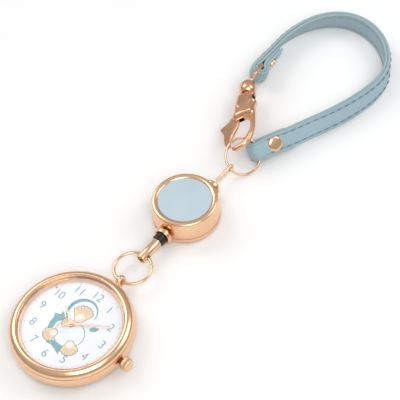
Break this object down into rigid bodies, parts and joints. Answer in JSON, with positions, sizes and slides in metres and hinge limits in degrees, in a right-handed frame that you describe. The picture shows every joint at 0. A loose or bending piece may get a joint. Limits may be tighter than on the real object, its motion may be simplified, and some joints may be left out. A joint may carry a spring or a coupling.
{
  "type": "fob watch on a retracting reel with a wrist strap",
  "caption": "Round quartz fob watch on a ring, with a retracting cord reel, a swivel, a split ring, a riveted leather wrist strap and a lobster clasp.",
  "frame": {"origin": "middle of the outer flat face of the watch case back, on the surface that the watch lies on", "axes": "+X from the watch centre along the chain towards the reel and the strap, which is also towards twelve on the dial; +Z out of the dial; +Y towards nine on the dial; the crown is on the -Y side"},
  "size_m": [0.186, 0.0463, 0.0121],
  "materials": {
    "rose_gold": "polished rose-gold plating over brass",
    "steel": "brushed stainless steel",
    "brass": "plain brass",
    "black_rubber": "satin black rubber",
    "white_plastic": "natural white plastic",
    "mineral_glass": "clear polished glass",
    "pearl_dial": "pearly white enamel look",
    "copper_coil": "lacquered copper winding",
    "green_board": "green solder mask",
    "black_plastic": "moulded black plastic",
    "black_cord": "braided black cord",
    "blue_inlay": "pale blue-grey satin enamel",
    "blue_leather": "pale blue grained leather, stitched",
    "grey_leather": "smooth blue-grey lining leather"
  },
  "bodies": {
    "reel_case": {"reel_back": "rose_gold", "reel_cover": "rose_gold", "reel_inlay": "blue_inlay", "reel_post": "steel", "cord_collar": "rose_gold", "swivel_boss": "rose_gold"},
    "spool": {"spool": "black_plastic", "wound_cord": "black_cord", "mainspring": "steel"},
    "cord_end": {"bumper": "black_rubber", "cord_knot": "black_cord", "cord_lead": "black_cord"},
    "ferrule": {"ferrule": "rose_gold"},
    "lower_ring": {"lower_ring": "rose_gold"},
    "watch_case": {"mid_case": "rose_gold", "bezel": "rose_gold", "case_back": "steel", "case_back_gasket": "black_rubber", "crystal_gasket": "white_plastic", "crystal": "mineral_glass", "dial_ring": "rose_gold", "dial": "pearl_dial", "pendant_eye": "rose_gold", "crown_tube": "rose_gold", "movement_holder": "white_plastic", "main_plate": "brass", "train_bridge": "brass", "battery": "steel", "coil": "copper_coil", "stator": "steel", "circuit_board": "green_board", "quartz_crystal": "steel"},
    "stem": {"stem": "steel", "crown": "rose_gold"},
    "seconds": {"seconds_wheel": "brass", "second_hand": "rose_gold"},
    "third_wheel": {"third_wheel": "brass"},
    "centre": {"centre_wheel": "brass", "minute_hand": "rose_gold"},
    "fifth_wheel": {"fifth_wheel": "brass"},
    "rotor": {"rotor": "steel"},
    "minute_wheel": {"minute_wheel": "brass"},
    "hours": {"hour_wheel": "brass", "hour_hand": "rose_gold"},
    "swivel_bail": {"swivel_bail": "rose_gold"},
    "upper_ring": {"upper_ring": "rose_gold"},
    "strap": {"strap_outer": "blue_leather", "strap_lining": "grey_leather", "rivet_cap_chain_end": "rose_gold", "rivet_base_chain_end": "rose_gold", "rivet_cap_clasp_end": "rose_gold", "rivet_base_clasp_end": "rose_gold"},
    "swivel_eye": {"swivel_eye": "rose_gold"},
    "clasp": {"clasp_body": "rose_gold", "lever_pin": "rose_gold", "lever_spring": "steel"},
    "lever": {"lever": "rose_gold"}
  },
  "joints": [
    {"name": "cord_pull", "type": "slide", "parent": "reel_case", "child": "cord_end", "axis": [-1, 0, 0], "range_m": [0, 0.35], "stiffness_N_per_m": 0.4},
    {"name": "spool_turn", "type": "hinge", "parent": "reel_case", "child": "spool", "pos_m": [0.058, 0, 0.0037], "axis": [0, 0, 1], "range_deg": [0, 2874.8]},
    {"name": "ferrule_swivel", "type": "hinge", "parent": "cord_end", "child": "ferrule", "pos_m": [0.038, -0.0006, 0.0037], "axis": [1, 0, 0], "range_deg": [-180, 180]},
    {"name": "ring_in_ferrule", "type": "hinge", "parent": "ferrule", "child": "lower_ring", "pos_m": [0.03515, -0.0006, 0.0037], "axis": [0, 1, 0], "range_deg": [-45, 45]},
    {"name": "watch_on_ring", "type": "hinge", "parent": "lower_ring", "child": "watch_case", "pos_m": [0.02275, -0.0006, 0.0037], "axis": [0, 1, 0], "range_deg": [-60, 60]},
    {"name": "stem_pull", "type": "slide", "parent": "watch_case", "child": "stem", "axis": [0, -1, 0], "range_m": [0, 0.0009]},
    {"name": "seconds_turn", "type": "hinge", "parent": "watch_case", "child": "seconds", "pos_m": [0, 0, 0.005], "axis": [0, 0, -1], "continuous": true},
    {"name": "third_turn", "type": "hinge", "parent": "watch_case", "child": "third_wheel", "pos_m": [-0.0031, 0, 0.0034], "axis": [0, 0, -1], "continuous": true},
    {"name": "minutes_turn", "type": "hinge", "parent": "watch_case", "child": "centre", "pos_m": [0, 0, 0.005], "axis": [0, 0, -1], "continuous": true},
    {"name": "fifth_turn", "type": "hinge", "parent": "watch_case", "child": "fifth_wheel", "pos_m": [0.0018, 0.0018, 0.0035], "axis": [0, 0, -1], "continuous": true},
    {"name": "rotor_turn", "type": "hinge", "parent": "watch_case", "child": "rotor", "pos_m": [0.0036, 0.00437, 0.0034], "axis": [0, 0, -1], "continuous": true},
    {"name": "minute_wheel_turn", "type": "hinge", "parent": "watch_case", "child": "minute_wheel", "pos_m": [0.0022, 0, 0.0053], "axis": [0, 0, -1], "continuous": true},
    {"name": "hours_turn", "type": "hinge", "parent": "watch_case", "child": "hours", "pos_m": [0, 0, 0.0055], "axis": [0, 0, -1], "continuous": true},
    {"name": "bail_swivel", "type": "hinge", "parent": "reel_case", "child": "swivel_bail", "pos_m": [0.07, -0.0014, 0.0037], "axis": [1, 0, 0], "range_deg": [-180, 180]},
    {"name": "ring_on_bail", "type": "hinge", "parent": "swivel_bail", "child": "upper_ring", "pos_m": [0.08077, -0.00144, 0.00379], "axis": [-0.022, -0.7603, -0.6492], "range_deg": [-30, 30]},
    {"name": "strap_on_ring", "type": "hinge", "parent": "upper_ring", "child": "strap", "pos_m": [0.09212, -0.00456, 0.00455], "axis": [0.238, 0.5971, 0.7661], "range_deg": [-4, 1]},
    {"name": "eye_in_strap", "type": "hinge", "parent": "strap", "child": "swivel_eye", "pos_m": [0.12266, 0.01652, 0.00532], "axis": [-0.006, -0.309, 0.951], "range_deg": [-0.5, 1]},
    {"name": "clasp_swivel", "type": "hinge", "parent": "swivel_eye", "child": "clasp", "pos_m": [0.0845, -0.0016, 0.0087], "axis": [0.8705, 0.4893, -0.054], "range_deg": [-4, 2]},
    {"name": "lever_open", "type": "hinge", "parent": "clasp", "child": "lever", "pos_m": [0.10254, 0.01023, 0.00668], "axis": [-0.2042, 0.4588, 0.8648], "range_deg": [0, 7], "stiffness_Nm_per_rad": 0.02}
  ],
  "couplings": [
    {"joint": "spool_turn", "follows": "cord_pull", "rad_per_m": 142.86},
    {"joint": "third_turn", "follows": "seconds_turn", "ratio": -0.125},
    {"joint": "minutes_turn", "follows": "seconds_turn", "ratio": 0.016667},
    {"joint": "fifth_turn", "follows": "seconds_turn", "ratio": -6},
    {"joint": "rotor_turn", "follows": "seconds_turn", "ratio": 30},
    {"joint": "minute_wheel_turn", "follows": "seconds_turn", "ratio": -0.0055556},
    {"joint": "hours_turn", "follows": "seconds_turn", "ratio": 0.0013889}
  ]
}
